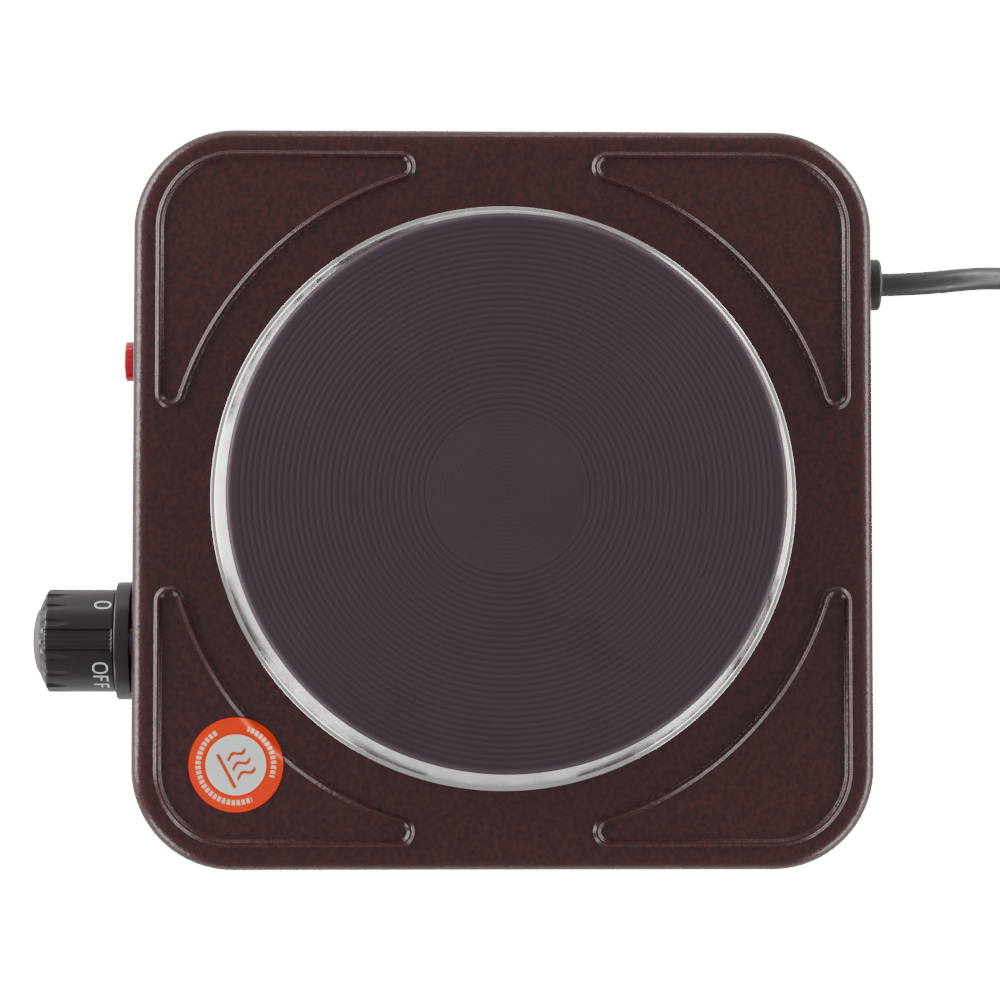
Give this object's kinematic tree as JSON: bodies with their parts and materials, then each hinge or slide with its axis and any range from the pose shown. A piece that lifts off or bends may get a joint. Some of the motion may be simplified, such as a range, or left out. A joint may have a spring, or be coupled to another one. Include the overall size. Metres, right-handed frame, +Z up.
{
  "type": "electric hot plate",
  "caption": "Square pressed-steel portable hot plate with a grooved cast-iron plate in a bright ring, a front knob, a pilot lamp and a mains lead.",
  "frame": {"origin": "on the table, under the middle of the object's own box without the mains lead", "axes": "+Z up, the knob and the pilot lamp on the -Y side, the mains lead leaves on the +Y side"},
  "size_m": [0.2429, 0.4349, 0.07],
  "materials": {
    "hammertone_paint": "dark brown hammertone enamel, semi-gloss",
    "cast_iron": "black baked coating, turned grooves, satin",
    "bright_steel": "polished stainless sheet",
    "zinc_steel": "zinc plated",
    "brass": "satin",
    "black_plastic": "glossy moulded",
    "grey_plastic": "satin moulded",
    "red_lens": "clear red, glossy",
    "foot_rubber": "matt",
    "ceramic": "unglazed",
    "bimetal": "rolled strip",
    "sticker_print": "laminated print",
    "brown_insulation": "silicone sleeve",
    "blue_insulation": "silicone sleeve",
    "green_insulation": "green and yellow sleeve",
    "cord_sheath": "matt black sheath"
  },
  "bodies": {
    "housing": {"housing_shell": "hammertone_paint", "base_plate": "zinc_steel", "foot_1": "foot_rubber", "foot_screw_1": "zinc_steel", "foot_2": "foot_rubber", "foot_screw_2": "zinc_steel", "foot_3": "foot_rubber", "foot_screw_3": "zinc_steel", "foot_4": "foot_rubber", "foot_screw_4": "zinc_steel", "hot_plate": "cast_iron", "trim_ring": "bright_steel", "heating_element": "zinc_steel", "element_cover": "zinc_steel", "element_insulator_1": "ceramic", "element_insulator_2": "ceramic", "clamp_stud": "zinc_steel", "stud_spacer": "zinc_steel", "clamp_bar": "zinc_steel", "clamp_washer": "zinc_steel", "clamp_nut": "zinc_steel", "shield_nut": "zinc_steel", "heat_shield": "bright_steel", "thermostat_frame": "zinc_steel", "thermostat_bushing": "brass", "thermostat_insulator_1": "ceramic", "thermostat_insulator_2": "ceramic", "thermostat_insulator_3": "ceramic", "stack_rivet": "zinc_steel", "contact_arm_root": "brass", "contact_leaf": "brass", "bimetal_strip": "bimetal", "thermostat_screw_1": "zinc_steel", "thermostat_screw_2": "zinc_steel", "lamp_lens": "red_lens", "lamp_holder": "black_plastic", "cord_bush": "black_plastic", "live_wire": "brown_insulation", "neutral_wire": "blue_insulation", "earth_wire": "green_insulation", "switched_wire": "brown_insulation", "lamp_lead_1": "black_plastic", "lamp_lead_2": "black_plastic", "earth_screw": "brass", "power_cord": "cord_sheath", "cord_coil": "cord_sheath", "coil_tie": "black_plastic", "plug_lead": "cord_sheath", "plug_body": "black_plastic", "plug_pin_1": "bright_steel", "plug_pin_2": "bright_steel", "plug_earth_clip_1": "brass", "plug_earth_clip_2": "brass", "sticker": "sticker_print"},
    "knob": {"knob_body": "black_plastic", "knob_skirt": "black_plastic", "knob_cap": "grey_plastic", "thermostat_spindle": "zinc_steel"},
    "contact_arm": {"contact_arm": "brass"}
  },
  "joints": [
    {"name": "knob_turn", "type": "hinge", "parent": "housing", "child": "knob", "pos_m": [0.0459, -0.10595, 0.034], "axis": [0, 1, 0], "range_deg": [0, 300]},
    {"name": "contact_arm_swing", "type": "hinge", "parent": "housing", "child": "contact_arm", "pos_m": [0.0581, -0.0934, 0.034], "axis": [0, 0, -1], "range_deg": [0, 3.05]}
  ],
  "couplings": [
    {"joint": "contact_arm_swing", "follows": "knob_turn", "ratio": 0.01}
  ]
}
